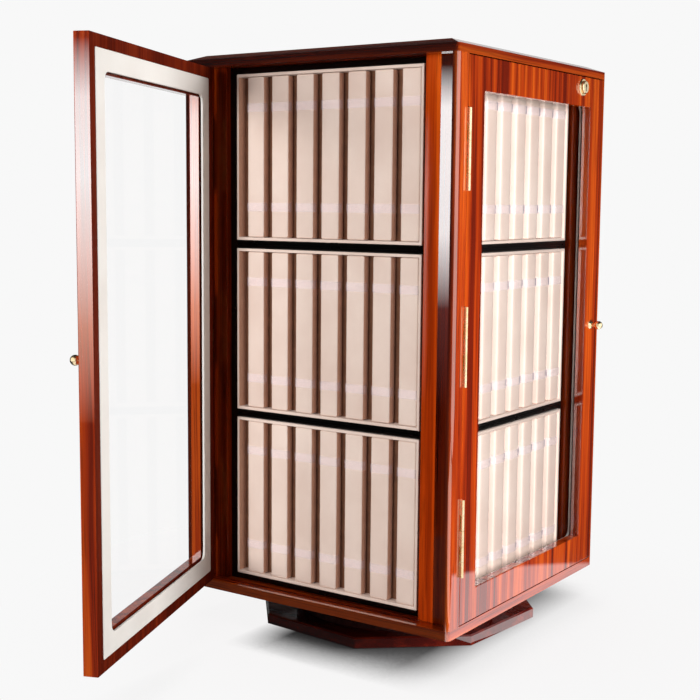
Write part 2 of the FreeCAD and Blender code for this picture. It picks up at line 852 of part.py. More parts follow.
def escutcheon(side):
    """Turned plate with a collar that stands out round the keyhole."""
    label = f"{SIDES[side]}_escutcheon"
    body = new_body(label)
    radius = s.escutcheon_radius
    collar_front = door_front - s.collar_height
    section = outline(body, f"{label}_section", [
        (0, collar_front),
        (s.collar_radius - s.collar_edge, collar_front),
        (s.collar_radius, collar_front + s.collar_edge),
        (s.collar_radius, door_front - s.escutcheon_height),
        (radius - s.escutcheon_edge, door_front - s.escutcheon_height),
        (radius, door_front - s.escutcheon_edge),
        (radius, door_front),
        (0, door_front),
    ], at=(lock_x, 0, lock_z))
    revolve(body, f"{label}_plate", section)
    keyhole(body, label, collar_front, door_front)
    on_hinge(body, side, door_swing(side))
    return body


def lock_case(side):
    """Case let into the edge of the top rail, with a barrel for the key and a slot for the bolt."""
    label = f"{SIDES[side]}_lock_case"
    body = new_body(label)
    half_case = s.lock_case_width / 2
    block(body, f"{label}_body", (lock_x - half_case, lock_case_front, door_height - s.lock_case_height),
          (lock_x + half_case, glass_back, door_height))
    rod(body, f"{label}_barrel", (lock_x, door_front, lock_z), s.lock_barrel_radius,
        lock_case_front - door_front, along_y=True)
    keyhole(body, label, door_front, door_front + s.keyhole_depth)
    reach_x = s.bolt_width / 2 + s.bolt_play
    reach_y = s.bolt_thickness / 2 + s.bolt_play
    slot_foot = bolt_top - s.bolt_length - s.bolt_play
    block(body, f"{label}_bolt_slot", (lock_x - reach_x, bolt_y - reach_y, slot_foot),
          (lock_x + reach_x, bolt_y + reach_y, door_height), cut=True)
    on_hinge(body, side, door_swing(side))
    return body


def door_lock(side):
    return group(f"{SIDES[side]}_door_lock", [escutcheon(side), lock_case(side)])


def lock_bolt(side):
    label = f"{SIDES[side]}_lock_bolt"
    body = new_body(label)
    half_x, half_y = s.bolt_width / 2, s.bolt_thickness / 2
    block(body, f"{label}_bar", (lock_x - half_x, bolt_y - half_y, bolt_top - s.bolt_length),
          (lock_x + half_x, bolt_y + half_y, bolt_top))
    fillet(body, f"{label}_arris", s.bolt_arris, lambda edge: lies_at(edge, 2, bolt_top))
    on_hinge(body, side, door_swing(side))
    return body


# Checks before anything is written
def check(nodes):
    for item in doc.Objects:
        if "Invalid" in item.State or "Error" in item.State:
            raise RuntimeError(f"{item.Label} failed: {item.State}")
        if "Subtractive" in item.TypeId and item.Shape.Volume >= item.BaseFeature.Shape.Volume:
            raise RuntimeError(f"{item.Label} cuts nothing")
    for node in nodes:
        if node.Shape.isNull() or not node.Shape.isValid() or not node.Shape.Solids:
            raise RuntimeError(f"{node.Label} has no valid shape")


sides = range(len(SIDES))
nodes = [
    base_plate(), base_felt(), bearing_lower_ring(), bearing_balls(), bearing_upper_ring(), turntable_block(),
    bottom_board(), top_board(), side_battens(), tray_column(), clear_bands(), cabinet_hinge_leaves(),
]
nodes += [corner_post(side) for side in sides]
nodes += [tray(side, level) for side in sides for level in range(len(LEVELS))]
nodes += [tray_slats(side) for side in sides]
for build in (door_frame, door_glass, door_lining, door_hinge_leaves, door_knob, door_lock, lock_bolt):
    nodes += [build(side) for side in sides]
doc.recompute()
check(nodes)

os.makedirs("parts", exist_ok=True)
for node in nodes:
    node.Shape.exportStep(f"parts/{node.Label}.step")
print(f"{len(nodes)} nodes, {sum(len(node.Shape.Solids) for node in nodes)} solids written")
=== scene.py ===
import bpy
import json
import math
from mathutils import Matrix, Vector

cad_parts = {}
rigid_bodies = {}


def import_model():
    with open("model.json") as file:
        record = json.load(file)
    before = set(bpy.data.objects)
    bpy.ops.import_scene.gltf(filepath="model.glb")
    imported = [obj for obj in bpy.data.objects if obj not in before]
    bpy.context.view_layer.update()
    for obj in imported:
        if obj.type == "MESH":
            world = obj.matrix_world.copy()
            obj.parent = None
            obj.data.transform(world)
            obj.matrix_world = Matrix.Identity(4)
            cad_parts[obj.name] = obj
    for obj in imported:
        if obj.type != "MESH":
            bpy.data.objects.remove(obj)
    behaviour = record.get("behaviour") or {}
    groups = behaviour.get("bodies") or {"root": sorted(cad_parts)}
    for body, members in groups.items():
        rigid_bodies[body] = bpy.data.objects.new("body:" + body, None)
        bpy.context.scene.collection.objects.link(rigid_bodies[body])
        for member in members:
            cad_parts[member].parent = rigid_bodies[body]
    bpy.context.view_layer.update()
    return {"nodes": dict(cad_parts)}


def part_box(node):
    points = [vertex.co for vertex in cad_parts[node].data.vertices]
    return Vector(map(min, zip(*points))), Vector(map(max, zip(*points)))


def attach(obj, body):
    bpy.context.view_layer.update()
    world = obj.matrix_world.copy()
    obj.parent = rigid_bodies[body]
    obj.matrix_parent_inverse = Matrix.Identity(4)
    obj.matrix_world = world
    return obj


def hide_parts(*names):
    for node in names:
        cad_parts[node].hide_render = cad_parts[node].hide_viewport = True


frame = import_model()
nodes = frame["nodes"]
sideNames = ("front", "right", "back", "left")
levelNames = ("bottom", "middle", "top")
print("frame loaded:", len(nodes), "nodes")


# Shader tools: Wire carries a socket through Python sums, Finish holds one material
class Wire:
    def __init__(self, tree, socket):
        self.tree = tree
        self.socket = socket

    def math(self, operation, first, second=None):
        node = self.tree.nodes.new("ShaderNodeMath")
        node.operation = operation
        for slot, value in zip(node.inputs, (first, second)):
            plug(self.tree, slot, value)
        return Wire(self.tree, node.outputs[0])

    def __add__(self, other):
        return self.math("ADD", self, other)

    def __radd__(self, other):
        return self.math("ADD", other, self)

    def __sub__(self, other):
        return self.math("SUBTRACT", self, other)

    def __rsub__(self, other):
        return self.math("SUBTRACT", other, self)

    def __mul__(self, other):
        return self.math("MULTIPLY", self, other)

    def __rmul__(self, other):
        return self.math("MULTIPLY", other, self)

    def __truediv__(self, other):
        return self.math("DIVIDE", self, other)

    def __gt__(self, other):
        return self.math("GREATER_THAN", self, other)

    def __abs__(self):
        return self.math("ABSOLUTE", self)


def plug(tree, slot, value):
    if isinstance(value, Wire):
        tree.links.new(value.socket, slot)
    elif value is not None:
        slot.default_value = value


class Finish:
    def __init__(self, name, owner=None):
        self.data = owner or bpy.data.materials.new(name)
        self.data.use_nodes = True
        self.tree = self.data.node_tree
        self.tree.nodes.clear()

    # kind of node, its settings, its sockets, and the output to carry on with
    def node(self, kind, settings=None, sockets=None, out=0):
        made = self.tree.nodes.new(kind)
        for key, value in (settings or {}).items():
            if key == "stops":
                setStops(made.color_ramp, value)
            else:
                setattr(made, key, value)
        for key, value in (sockets or {}).items():
            plug(self.tree, made.inputs[key], value)
        return Wire(self.tree, made.outputs[out]) if made.outputs else None

    def coords(self, scale=(1, 1, 1), shift=(0, 0, 0)):
        place = self.node("ShaderNodeTexCoord", out="Object")
        return self.node("ShaderNodeMapping", None, {"Vector": place, "Scale": scale, "Location": shift})

    def noise(self, vector, scale=1.0, detail=2.0, rough=0.5):
        return self.node("ShaderNodeTexNoise", None, {
            "Vector": vector, "Scale": scale, "Detail": detail, "Roughness": rough})

    def ramp(self, value, stops):
        return self.node("ShaderNodeValToRGB", {"stops": stops}, {"Fac": value})

    def mix(self, share, first, second):  # sockets 6 and 7 are the node's colours, output 2 its colour
        return self.node("ShaderNodeMix", {"data_type": "RGBA"}, {"Factor": share, 6: first, 7: second}, out=2)

    def spread(self, value, low, high, toLow=0.0, toHigh=1.0):
        return self.node("ShaderNodeMapRange", None, {
            "Value": value, "From Min": low, "From Max": high, "To Min": toLow, "To Max": toHigh})

    def dot(self, first, second):
        return self.node("ShaderNodeVectorMath", {"operation": "DOT_PRODUCT"}, {0: first, 1: second}, "Value")

    def rays(self):  # 1 where the camera looks, straight or through glass, and 1 where a mirror looks
        seen = self.node("ShaderNodeLightPath", out="Is Camera Ray")
        seen = seen + self.node("ShaderNodeLightPath", out="Is Transmission Ray")
        return seen, self.node("ShaderNodeLightPath", out="Is Glossy Ray")

    def bump(self, height, strength, distance):
        return self.node("ShaderNodeBump", None, {
            "Height": height, "Strength": strength, "Distance": distance})

    def surface(self, sockets):
        return self.node("ShaderNodeBsdfPrincipled", None, sockets)

    def close(self, shader, kind="ShaderNodeOutputMaterial"):
        self.node(kind, None, {"Surface": shader})
        return self.data


def setStops(band, stops):
    while len(band.elements) < len(stops):
        band.elements.new(0.5)
    for element, (place, colour) in zip(band.elements, stops):
        element.position = place
        element.color = colour


def rgb(red, green, blue):  # colour as it shows on screen, 0 to 255, as linear light
    def straight(level):
        level = level / 255
        return level / 12.92 if level <= 0.04045 else ((level + 0.055) / 1.055) ** 2.4
    return (straight(red), straight(green), straight(blue), 1.0)


# Lacquered veneer: long stripes, a slow change of tone and fine pores under a clear coat
veneerLook = {
    "stripeAcross": 62.0, "stripeAlong": 0.9, "stripeShare": 0.72,
    "toneAcross": 11.0, "toneAlong": 0.7, "toneShare": 0.28,
    "poreAcross": 520.0, "poreAlong": 7.0, "poreFrom": 0.52, "poreTo": 0.66, "poreDepth": 0.45,
    "poreColour": rgb(52, 10, 3),
    "levelFrom": 0.34, "levelTo": 0.66, "swayScale": 3.0, "waver": 0.010,
    "roughness": 0.30, "poreRoughness": 0.25, "specular": 0.05, "coatRoughness": 0.03, "coatIor": 2.5,
    "rippleScale": 9.0, "rippleBump": 0.02, "rippleHeight": 0.002,
}
# how veneer changes round a board, from -1 on its inner face to 1 on its outer face
boardLook = {
    "figureFrom": -0.6, "figureTo": 0.2,
    "innerFrom": -0.9, "innerTo": -0.5, "innerCoat": 0.06, "innerDull": 0.25,
    "sideTurn": 0.7,
}
redTones = [
    (0.22, rgb(112, 25, 4)), (0.40, rgb(150, 42, 5)), (0.56, rgb(178, 59, 8)), (0.80, rgb(212, 88, 18)),
]
# inner faces and edges: plain wood in darker tones, the extra darkness painted shade
plainShadedTones = [
    (0.22, rgb(88, 22, 8)), (0.42, rgb(104, 28, 10)), (0.58, rgb(116, 34, 12)), (0.80, rgb(128, 42, 16)),
]
battenTones = [
    (0.22, rgb(126, 36, 4)), (0.40, rgb(150, 46, 5)), (0.58, rgb(172, 60, 8)), (0.80, rgb(196, 80, 16)),
]
# base plate: rosewood in darker tones, partly its own colour and partly painted shade
baseWoodShadeTones = [
    (0.22, rgb(84, 15, 8)), (0.45, rgb(100, 21, 10)), (0.60, rgb(114, 27, 12)), (0.80, rgb(130, 36, 16)),
]


def grainScale(across, along, axis):
    scale = [across, across, across]
    scale["xyz".index(axis)] = along
    return scale


def veneerColour(finish, tones, axis, shift):
    look = veneerLook
    sway = finish.noise(finish.coords((look["swayScale"],) * 3, shift), detail=1.0)
    bend = (sway - 0.5) * look["waver"]
    place = finish.node("ShaderNodeTexCoord", out="Object")
    offset = finish.node("ShaderNodeCombineXYZ", None, {"X": bend, "Y": bend, "Z": bend})
    moved = finish.node("ShaderNodeVectorMath", {"operation": "ADD"}, {0: place, 1: offset})

    def scaled(across, along):
        return finish.node("ShaderNodeMapping", None, {
            "Vector": moved, "Scale": grainScale(across, along, axis), "Location": shift})

    stripe = finish.noise(scaled(look["stripeAcross"], look["stripeAlong"]), detail=4.0, rough=0.62)
    tone = finish.noise(scaled(look["toneAcross"], look["toneAlong"]), detail=1.0)
    pore = finish.noise(scaled(look["poreAcross"], look["poreAlong"]), detail=2.0, rough=0.6)
    level = stripe * look["stripeShare"] + tone * look["toneShare"]
    colour = finish.ramp(finish.spread(level, look["levelFrom"], look["levelTo"]), tones)
    poreMask = finish.spread(pore, look["poreFrom"], look["poreTo"], 0.0, look["poreDepth"])
    return finish.mix(poreMask, colour, look["poreColour"]), poreMask


def veneer(name, tones, axis="z", shift=(0, 0, 0), outward=None):
    finish = Finish(name)
    look, board = veneerLook, boardLook
    coat, dull = 1.0, 0.0
    if outward:  # a board with figured veneer on its outer face and plain wood elsewhere
        facing = finish.node("ShaderNodeTexCoord", out="Normal")
        turned = finish.dot(facing, outward)
        outer = finish.spread(turned, board["figureFrom"], board["figureTo"])
        figured, poreMask = veneerColour(finish, tones, axis, shift)
        # plain wood for inner faces and edges, its darker tones partly painted shade
        plain = veneerColour(finish, plainShadedTones, axis, shift)[0]
        colour = finish.mix(outer, plain, figured)
        coat = finish.spread(turned, board["innerFrom"], board["innerTo"], board["innerCoat"], 1.0)
        dull = finish.spread(turned, board["innerFrom"], board["innerTo"], board["innerDull"], 0.0)
    elif axis == "edges":  # the grain runs along each edge of a square board
        facing = finish.node("ShaderNodeTexCoord", out="Normal")
        sideways = abs(finish.node("ShaderNodeSeparateXYZ", None, {"Vector": facing}, "X")) > board["sideTurn"]
        alongX, poreX = veneerColour(finish, tones, "x", shift)
        alongY, poreY = veneerColour(finish, tones, "y", shift)
        colour = finish.mix(sideways, alongX, alongY)
        poreMask = poreX * (1 - sideways) + poreY * sideways
    else:
        colour, poreMask = veneerColour(finish, tones, axis, shift)
    ripple = finish.noise(finish.coords((look["rippleScale"],) * 3), detail=1.0)
    shader = finish.surface({
        "Base Color": colour,
        "Roughness": look["roughness"] + poreMask * look["poreRoughness"] + dull,
        "Coat Weight": coat, "Coat Roughness": look["coatRoughness"], "Coat IOR": look["coatIor"],
        "Specular IOR Level": look["specular"],
        "Normal": finish.bump(ripple, look["rippleBump"], look["rippleHeight"]),
    })
    return finish.close(shader)


# Battens: satin wood with dark knots
battenLook = {
    "grainShift": (1.2, 5.3, 0.9), "knotScale": (26.0, 26.0, 5.0), "knotShift": (0.7, 0.2, 0.4),
    "knotFrom": 0.62, "knotTo": 0.74, "knotDepth": 0.75, "knotColour": rgb(58, 12, 3),
    "roughness": 0.42, "poreRoughness": 0.2, "coat": 0.4, "coatRoughness": 0.06, "coatIor": 1.6,
    "bump": 0.08, "bumpHeight": 0.0002,
}


def battenWood(name):
    look = battenLook
    finish = Finish(name)
    wood, poreMask = veneerColour(finish, battenTones, "z", look["grainShift"])
    knot = finish.noise(finish.coords(look["knotScale"], look["knotShift"]), detail=3.0, rough=0.6)
    knotMask = finish.spread(knot, look["knotFrom"], look["knotTo"], 0.0, look["knotDepth"])
    shader = finish.surface({
        "Base Color": finish.mix(knotMask, wood, look["knotColour"]),
        "Roughness": look["roughness"] + poreMask * look["poreRoughness"],
        "Coat Weight": look["coat"], "Coat Roughness": look["coatRoughness"], "Coat IOR": look["coatIor"],
        "Specular IOR Level": 0.0,
        "Normal": finish.bump(poreMask, look["bump"], look["bumpHeight"]),
    })
    return finish.close(shader)


# Leatherette: small pebbled cells, a soft sheen, slight changes of tone
leatherLook = {
    "cells": 620.0, "cellSmoothness": 0.6, "cellFrom": 0.35, "cellTo": 0.8, "cellTint": 0.22, "cellHeight": 0.7,
    "creases": 341.0, "creaseHeight": 0.5, "patches": 14.0, "patchFrom": 0.3, "patchTo": 0.7,
    "roughness": 0.52, "patchRoughness": 0.15, "specular": 0.35, "sheen": 0.15, "sheenRoughness": 0.5,
    "bump": 0.22, "bumpHeight": 0.0004,
}


def leatherette(name, light, dark):
    look = leatherLook
    finish = Finish(name)
    place = finish.coords()
    cell = finish.node("ShaderNodeTexVoronoi", {"feature": "SMOOTH_F1"}, {
        "Vector": place, "Scale": look["cells"], "Smoothness": look["cellSmoothness"]}, "Distance")
    crease = finish.noise(place, look["creases"], detail=3.0)
    patch = finish.noise(place, look["patches"], detail=3.0)
    pebbles = finish.spread(cell, look["cellFrom"], look["cellTo"], 0.0, look["cellTint"])
    colour = finish.mix(finish.spread(patch, look["patchFrom"], look["patchTo"]), dark, light)
    grain = cell * look["cellHeight"] + crease * look["creaseHeight"]
    shader = finish.surface({
        "Base Color": finish.mix(pebbles, colour, dark),
        "Roughness": look["roughness"] + (patch - 0.5) * look["patchRoughness"],
        "Specular IOR Level": look["specular"],
        "Sheen Weight": look["sheen"], "Sheen Roughness": look["sheenRoughness"],
        "Normal": finish.bump(grain, look["bump"], look["bumpHeight"]),
    })
    return finish.close(shader)


# Suede: a fine nap with soft patches
suedeLook = {
    "nap": 1400.0, "napShare": 0.6, "patches": 60.0, "patchShare": 0.4, "toneFrom": 0.35, "toneTo": 0.65,
    "roughness": 0.88, "napRoughness": 0.15, "specular": 0.1, "sheen": 0.3, "sheenRoughness": 0.6,
    "bump": 0.35, "bumpHeight": 0.0004,
}


def suede(name, light, dark):
    look = suedeLook
    finish = Finish(name)
    place = finish.coords()
    nap = finish.noise(place, look["nap"], detail=3.0, rough=0.7)
    patch = finish.noise(place, look["patches"], detail=3.0)
    tone = finish.spread(nap * look["napShare"] + patch * look["patchShare"], look["toneFrom"], look["toneTo"])
    shader = finish.surface({
        "Base Color": finish.mix(tone, dark, light),
        "Roughness": look["roughness"] + (nap - 0.5) * look["napRoughness"],
        "Specular IOR Level": look["specular"],
        "Sheen Weight": look["sheen"], "Sheen Roughness": look["sheenRoughness"],
        "Normal": finish.bump(nap, look["bump"], look["bumpHeight"]),
    })
    return finish.close(shader)


# Brass: bright metal with faint smears and polishing scratches
brassLook = {
    "light": rgb(252, 234, 196), "dark": rgb(238, 208, 152), "smears": 90.0, "toneFrom": 0.35, "toneTo": 0.7,
    "roughness": 0.22, "dullFrom": 0.4, "dullTo": 0.75, "dull": 0.14,
    "scratchScale": (2600.0, 2600.0, 300.0), "bump": 0.05, "bumpHeight": 0.0001,
}


def polishedBrass(name):
    look = brassLook
    finish = Finish(name)
    smear = finish.noise(finish.coords(), look["smears"], detail=4.0, rough=0.6)
    scratch = finish.noise(finish.coords(look["scratchScale"]), detail=2.0)
    tone = finish.spread(smear, look["toneFrom"], look["toneTo"])
    dull = finish.spread(smear, look["dullFrom"], look["dullTo"], 0.0, look["dull"])
    shader = finish.surface({
        "Base Color": finish.mix(tone, look["light"], look["dark"]),
        "Metallic": 1.0,
        "Roughness": look["roughness"] + dull,
        "Normal": finish.bump(scratch, look["bump"], look["bumpHeight"]),
    })
    return finish.close(shader)


# Steel: zinc spangles and turning marks
steelLook = {
    "dark": rgb(176, 178, 182), "light": rgb(206, 207, 210), "spangles": 260.0,
    "turnScale": (40.0, 40.0, 1800.0), "roughness": 0.28, "turnRoughness": 0.15, "bump": 0.08, "bumpHeight": 0.0002,
}


def zincSteel(name):
    look = steelLook
    finish = Finish(name)
    spangle = finish.node("ShaderNodeTexVoronoi", None, {
        "Vector": finish.coords(), "Scale": look["spangles"]}, "Color")
    level = finish.node("ShaderNodeSeparateColor", None, {"Color": spangle}, "Red")
    turned = finish.noise(finish.coords(look["turnScale"]), detail=2.0)
    shader = finish.surface({
        "Base Color": finish.mix(level, look["dark"], look["light"]),
        "Metallic": 1.0,
        "Roughness": look["roughness"] + turned * look["turnRoughness"],
        "Normal": finish.bump(turned, look["bump"], look["bumpHeight"]),
    })
    return finish.close(shader)


# Black board: satin lacquer with a little dust
blackLook = {
    "dark": rgb(14, 12, 12), "light": rgb(30, 26, 25), "dust": 420.0, "dustFrom": 0.4, "dustTo": 0.75,
    "patches": 22.0, "roughness": 0.30, "patchRoughness": 0.16, "bump": 0.06, "bumpHeight": 0.0003,
}


def satinBlack(name):
    look = blackLook
    finish = Finish(name)
    place = finish.coords()
    dust = finish.noise(place, look["dust"], detail=3.0, rough=0.6)
    patch = finish.noise(place, look["patches"], detail=2.0)
    dusty = finish.spread(dust, look["dustFrom"], look["dustTo"])
    shader = finish.surface({
        "Base Color": finish.mix(dusty, look["dark"], look["light"]),
        "Roughness": look["roughness"] + (patch - 0.5) * look["patchRoughness"],
        "Normal": finish.bump(dust, look["bump"], look["bumpHeight"]),
    })
    return finish.close(shader)


# Felt: short black fibres
feltLook = {
    "dark": rgb(16, 16, 17), "light": rgb(44, 43, 45), "fibres": 1800.0,
    "roughness": 0.92, "fibreRoughness": 0.1, "sheen": 0.4, "bump": 0.5, "bumpHeight": 0.0005,
}


def blackFelt(name):
    look = feltLook
    finish = Finish(name)
    fibre = finish.noise(finish.coords(), look["fibres"], detail=4.0, rough=0.7)
    shader = finish.surface({
        "Base Color": finish.mix(fibre, look["dark"], look["light"]),
        "Roughness": look["roughness"] + (fibre - 0.5) * look["fibreRoughness"],
        "Sheen Weight": look["sheen"],
        "Normal": finish.bump(fibre, look["bump"], look["bumpHeight"]),
    })
    return finish.close(shader)


# Clear glass: what is behind it with a weak mirror on top
glassLook = {"smears": 6.0, "roughness": 0.02, "smearRoughness": 0.02, "ior": 1.2, "mirror": 0.03}


def clearGlass(name):
    look = glassLook
    finish = Finish(name)
    smear = finish.noise(finish.coords(), look["smears"], detail=3.0)
    mirror = finish.surface({
        "Base Color": rgb(255, 255, 255), "Metallic": 1.0,
        "Roughness": look["roughness"] + smear * look["smearRoughness"]})
    through = finish.node("ShaderNodeBsdfTransparent", None, {"Color": rgb(255, 255, 255)})
    edgeOn = finish.node("ShaderNodeFresnel", None, {"IOR": look["ior"]}) * look["mirror"]
    return finish.close(finish.node("ShaderNodeMixShader", None, {0: edgeOn, 1: through, 2: mirror}))


# Clear straps: thin faintly clouded plastic
strapLook = {
    "dark": rgb(222, 216, 246), "light": rgb(240, 236, 254), "clouds": 180.0,
    "roughness": 0.16, "cloudRoughness": 0.12, "alpha": 0.06, "cloudAlpha": 0.07,
    "coat": 0.4, "coatRoughness": 0.1,
}


def clearStrap(name):
    look = strapLook
    finish = Finish(name)
    cloud = finish.noise(finish.coords(), look["clouds"], detail=2.0)
    shader = finish.surface({
        "Base Color": finish.mix(cloud, look["dark"], look["light"]),
        "Roughness": look["roughness"] + cloud * look["cloudRoughness"],
        "Alpha": look["alpha"] + cloud * look["cloudAlpha"],
        "Coat Weight": look["coat"], "Coat Roughness": look["coatRoughness"],
    })
    return finish.close(shader)


doorTurns = {"front": -68.5, "right": 90, "back": 180, "left": 270}  # the way each door's outer face is turned
doorGrain = {"x": 0.31, "y": 0.17, "z": 0.1}  # moves the stripes on from door to door
rosewoodDoors = {}
for sideName, turn in doorTurns.items():
    angle = math.radians(turn)
    rosewoodDoors[sideName] = veneer(
        f"rosewoodDoor_{sideName}", redTones,
        shift=(doorGrain["x"] * turn, doorGrain["y"] * turn, doorGrain["z"]),
        outward=(math.sin(angle), -math.cos(angle), 0))
rosewoodPosts = veneer("rosewoodPosts", redTones, shift=(3.7, 1.9, 0.4))
rosewoodBattens = battenWood("rosewoodBattens")
rosewoodEdges = veneer("rosewoodEdges", redTones, axis="edges", shift=(0.6, 0.2, 1.3))
# base plate wood, darkened partly by painted shade
baseWoodShade = veneer("baseWoodShade", baseWoodShadeTones, axis="x", shift=(1.1, 2.3, 0.7))
creamLeather = leatherette("creamLeather", rgb(236, 215, 202), rgb(225, 200, 186))
paleLeather = leatherette("paleLeather", rgb(252, 249, 243), rgb(244, 239, 232))
brownSuede = suede("brownSuede", rgb(138, 94, 68), rgb(106, 68, 48))
# tan suede stands in for warm shade: painted shade on faces turned away from the key light
paintedShadeSuede = suede("paintedShadeSuede", rgb(204, 152, 124), rgb(186, 134, 108))
brass = polishedBrass("brass")
steel = zincSteel("steel")
black = satinBlack("black")
felt = blackFelt("felt")
glass = clearGlass("glass")
strap = clearStrap("strap")
print("finishes made")

# Finish of every carried-over node
nodeFinish = {
    "base_plate": baseWoodShade, "base_felt": felt, "bearing_lower_ring": steel, "bearing_balls": steel,
    "bearing_upper_ring": steel, "turntable_block": black, "bottom_board": rosewoodEdges,
    "top_board": rosewoodEdges, "side_battens": rosewoodBattens, "tray_column": black,
    "clear_bands": strap, "cabinet_hinge_leaves": brass,
}
endFinish = {
    "door_glass": glass, "door_lining": paleLeather,
    "door_hinge_leaves": brass, "door_knob": brass, "door_lock": brass, "lock_bolt": brass,
}


def finishFor(name):
    if name in nodeFinish:
        return nodeFinish[name]
    if name.startswith("corner_post"):
        return rosewoodPosts
    if name.endswith("door_frame"):
        return rosewoodDoors[name.split("_")[0]]
    for ending, finish in endFinish.items():
        if name.endswith(ending):
            return finish
    return creamLeather


for name, node in nodes.items():
    node.data.materials.clear()
    node.data.materials.append(finishFor(name))
print("nodes finished")


# Modelling tools
def deselect():
    if bpy.context.object and bpy.context.object.mode != "OBJECT":
        bpy.ops.object.mode_set(mode="OBJECT")
    bpy.ops.object.select_all(action="DESELECT")


def newBlock(name, low, high):  # a cuboid from corner to corner, its place kept in its mesh
    deselect()
    low, high = Vector(low), Vector(high)
    bpy.ops.mesh.primitive_cube_add(size=1, location=(low + high) / 2)
    piece = bpy.context.object
    piece.name = piece.data.name = name
    piece.scale = high - low
    bpy.ops.object.transform_apply(location=True, rotation=True, scale=True)
    return piece


def pickFaces(piece, wanted):
    bpy.ops.object.mode_set(mode="EDIT")
    bpy.ops.mesh.select_mode(type="FACE")
    bpy.ops.mesh.select_all(action="DESELECT")
    bpy.ops.object.mode_set(mode="OBJECT")
    for face in piece.data.polygons:
        face.select = wanted(face)
    bpy.ops.object.mode_set(mode="EDIT")


def objectMode():
    bpy.ops.object.mode_set(mode="OBJECT")


def modify(piece, kind, **settings):
    bpy.context.view_layer.objects.active = piece
    modifier = piece.modifiers.new(kind.title(), kind)
    for key, value in settings.items():
        setattr(modifier, key, value)
    bpy.ops.object.modifier_apply(modifier=modifier.name)


def bevel(piece, shape):  # rounds every edge sharper than the shape's crease, in degrees
    modify(piece, "BEVEL", width=shape["edge"], segments=shape["segments"], limit_method="ANGLE",
           angle_limit=math.radians(shape["crease"]))


def movedCopy(piece, move):
    twin = piece.copy()
    twin.data = piece.data.copy()
    twin.data.transform(move)
    bpy.context.collection.objects.link(twin)
    return twin


def joinAs(name, pieces):
    deselect()
    for piece in pieces:
        piece.select_set(True)
    bpy.context.view_layer.objects.active = pieces[0]
    bpy.ops.object.join()
    joined = bpy.context.object
    joined.name = joined.data.name = name
    return joined


def smooth(piece, degrees):
    deselect()
    piece.select_set(True)
    bpy.context.view_layer.objects.active = piece
    bpy.ops.object.shade_smooth_by_angle(angle=math.radians(degrees))


def onAllSides(frontPiece, ending):  # with a copy for each further side, made before any is tied to the frame
    pieces = {sideNames[0]: frontPiece}
    for quarters, sideName in enumerate(sideNames[1:], start=1):
        twin = movedCopy(frontPiece, Matrix.Rotation(math.radians(90 * quarters), 4, "Z"))
        twin.name = twin.data.name = f"{sideName}_{ending}"
        pieces[sideName] = twin
    return pieces.items()


squareOn = 0.9  # a face looks along an axis when its normal has more than this share of it


def facingFront(face):
    return face.normal.y < -squareOn


def facingRight(face):
    return face.normal.x > squareOn


# Trays: a rounded rim round a suede floor
trayShape = {"rim": 0.004, "wallDepth": 0.015, "near": 0.001, "edge": 0.0007, "segments": 3, "crease": 40,
             "smooth": 40}


def makeTray(name, low, high):
    piece = newBlock(name, low, high)
    pickFaces(piece, facingFront)
    bpy.ops.mesh.inset(thickness=trayShape["rim"])
    bpy.ops.mesh.extrude_region_move(TRANSFORM_OT_translate={"value": (0, trayShape["wallDepth"], 0)})
    objectMode()
    floorY = low.y + trayShape["wallDepth"]
    piece.data.materials.append(creamLeather)
    piece.data.materials.append(brownSuede)
    piece.data.materials.append(paintedShadeSuede)
    for face in piece.data.polygons:
        if facingFront(face) and abs(face.center.y - floorY) < trayShape["near"]:
            face.material_index = 1
        # the tray's left wall, facing right, gets painted shade: the tan suede
        elif facingRight(face) and face.center.x < low.x + 2 * trayShape["rim"]:
            face.material_index = 2
    bevel(piece, trayShape)
    smooth(piece, trayShape["smooth"])
    return piece


for level in levelNames:
    frontTray = makeTray(f"front_{level}_tray", *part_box(f"front_tray_{level}"))
    for sideName, tray in onAllSides(frontTray, f"{level}_tray"):
        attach(tray, "cabinet")
        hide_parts(f"{sideName}_tray_{level}")
print("trays made")

# Slats: covered bars with a soft crown, seven to a tray
slatShape = {"count": 7, "groove": 0.014, "endGap": 0.0045, "crown": 0.0007, "crownInset": 0.007,
             "edge": 0.0022, "segments": 3, "crease": 30, "smooth": 60}
slatsLow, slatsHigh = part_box("front_tray_slats")
slatSpan = slatsHigh.x - slatsLow.x
slatWidth = (slatSpan - (slatShape["count"] - 1) * slatShape["groove"]) / slatShape["count"]
slatPitch = slatWidth + slatShape["groove"]
trayLow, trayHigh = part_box("front_tray_bottom")
slatFoot = trayLow.z + slatShape["endGap"]
slatHead = trayHigh.z - slatShape["endGap"]
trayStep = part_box("front_tray_middle")[0].z - trayLow.z


def slatGrid(piece):  # a copy of the first slat's piece for every slat of the front
    return [movedCopy(piece, Matrix.Translation((across * slatPitch, 0, up * trayStep)))
            for up in range(len(levelNames)) for across in range(slatShape["count"])]


def makeSlat():
    crownFace = slatsLow.y + slatShape["crown"]
    piece = newBlock("slat", (slatsLow.x, crownFace, slatFoot),
                     (slatsLow.x + slatWidth, slatsHigh.y, slatHead))
    pickFaces(piece, facingFront)
    bpy.ops.mesh.inset(thickness=slatShape["crownInset"])
    bpy.ops.transform.translate(value=(0, -slatShape["crown"], 0))
    objectMode()
    piece.data.materials.append(creamLeather)
    piece.data.materials.append(paintedShadeSuede)
    # each slat's right-hand side gets painted shade, the tan suede; its other faces stay cream
    for face in piece.data.polygons:
        face.material_index = int(facingRight(face))
    bevel(piece, slatShape)
    return piece


firstSlat = makeSlat()
frontSlats = joinAs("front_slats", slatGrid(firstSlat))
bpy.data.objects.remove(firstSlat)
smooth(frontSlats, slatShape["smooth"])
for sideName, slats in onAllSides(frontSlats, "slats"):
    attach(slats, "cabinet")
    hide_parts(f"{sideName}_tray_slats")
print("slats made")

